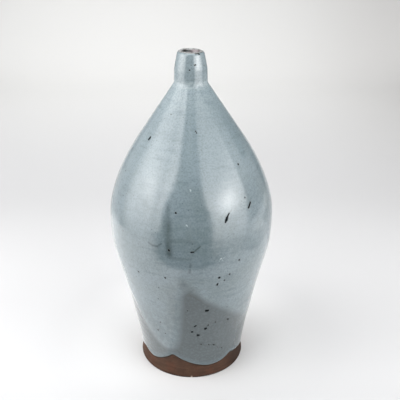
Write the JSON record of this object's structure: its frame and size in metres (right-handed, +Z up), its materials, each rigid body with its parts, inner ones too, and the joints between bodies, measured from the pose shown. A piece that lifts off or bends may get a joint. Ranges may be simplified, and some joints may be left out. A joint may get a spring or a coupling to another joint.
{
  "type": "bottle vase",
  "caption": "Tall stoneware bottle vase with a round belly, sloping shoulder, narrow neck and bare foot, poured with overlapping glossy glaze coats; holds water and a stem.",
  "frame": {"origin": "middle of the foot ring's resting plane, on the vase's throwing axis", "axes": "+Z up along the throwing axis; -Y towards the pictured side, where the long tongue of the second glaze coat hangs"},
  "size_m": [0.1778, 0.1778, 0.3599],
  "materials": {
    "stoneware": "bare dark brown stoneware, dry and slightly gritty",
    "slip": "fired luting slip, matt",
    "first_glaze": "glossy slate grey glaze, pitted",
    "second_glaze": "glossy pale blue grey glaze, mottled",
    "liner": "thin glossy grey liner glaze"
  },
  "bodies": {
    "root": {"lower_body": "stoneware", "upper_body": "stoneware", "neck": "stoneware", "belly_slip_ring": "slip", "neck_slip_ring": "slip", "first_glaze_coat": "first_glaze", "second_glaze_coat": "second_glaze", "liner_glaze": "liner"}
  },
  "joints": []
}
